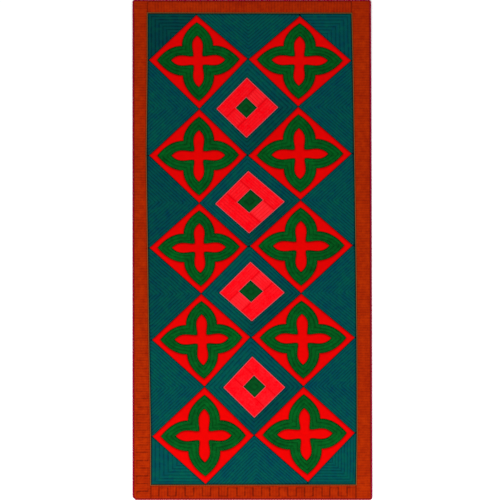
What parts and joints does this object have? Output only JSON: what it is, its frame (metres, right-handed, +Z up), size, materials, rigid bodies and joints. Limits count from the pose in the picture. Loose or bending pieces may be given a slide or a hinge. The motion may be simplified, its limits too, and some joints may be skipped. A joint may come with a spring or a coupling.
{
  "type": "shyrdak rug",
  "caption": "Flat quilted felt mosaic rug with diamond, quatrefoil and cross inlays, a border quilted in a winding line and corded seams, laid on a floor.",
  "frame": {"origin": "on the floor under the middle of the rug", "axes": "+Y along the rug's length to the head end, +X across it to the right, +Z up out of the face"},
  "size_m": [0.913, 1.904, 0.0107],
  "materials": {
    "teal_felt": "felted",
    "red_felt": "felted",
    "green_felt": "felted",
    "pink_felt": "felted",
    "core_felt": "felted",
    "rust_felt": "felted",
    "crimson_cord": "twisted wool",
    "tan_cord": "twisted wool",
    "pale_cord": "twisted wool"
  },
  "bodies": {
    "root": {"ground_felt": "teal_felt", "frame_1_left": "red_felt", "frame_1_right": "red_felt", "frame_2_left": "red_felt", "frame_2_right": "red_felt", "frame_3_left": "red_felt", "frame_3_right": "red_felt", "frame_4_left": "red_felt", "frame_4_right": "red_felt", "frame_5_left": "red_felt", "frame_5_right": "red_felt", "quatrefoil_1_left": "green_felt", "quatrefoil_1_right": "green_felt", "quatrefoil_2_left": "green_felt", "quatrefoil_2_right": "green_felt", "quatrefoil_3_left": "green_felt", "quatrefoil_3_right": "green_felt", "quatrefoil_4_left": "green_felt", "quatrefoil_4_right": "green_felt", "quatrefoil_5_left": "green_felt", "quatrefoil_5_right": "green_felt", "cross_1_left": "red_felt", "cross_1_right": "red_felt", "cross_2_left": "red_felt", "cross_2_right": "red_felt", "cross_3_left": "red_felt", "cross_3_right": "red_felt", "cross_4_left": "red_felt", "cross_4_right": "red_felt", "cross_5_left": "red_felt", "cross_5_right": "red_felt", "medallion_1": "pink_felt", "medallion_2": "pink_felt", "medallion_3": "pink_felt", "medallion_4": "pink_felt", "core_1": "core_felt", "core_2": "core_felt", "core_3": "core_felt", "core_4": "core_felt", "medallion_cord_1": "pale_cord", "medallion_cord_2": "pale_cord", "medallion_cord_3": "pale_cord", "medallion_cord_4": "pale_cord", "core_cord_1": "pale_cord", "core_cord_2": "pale_cord", "core_cord_3": "pale_cord", "core_cord_4": "pale_cord", "border_left": "rust_felt", "border_right": "rust_felt", "border_head": "rust_felt", "border_foot": "rust_felt", "field_cord": "tan_cord", "edge_cord": "crimson_cord"}
  },
  "joints": []
}
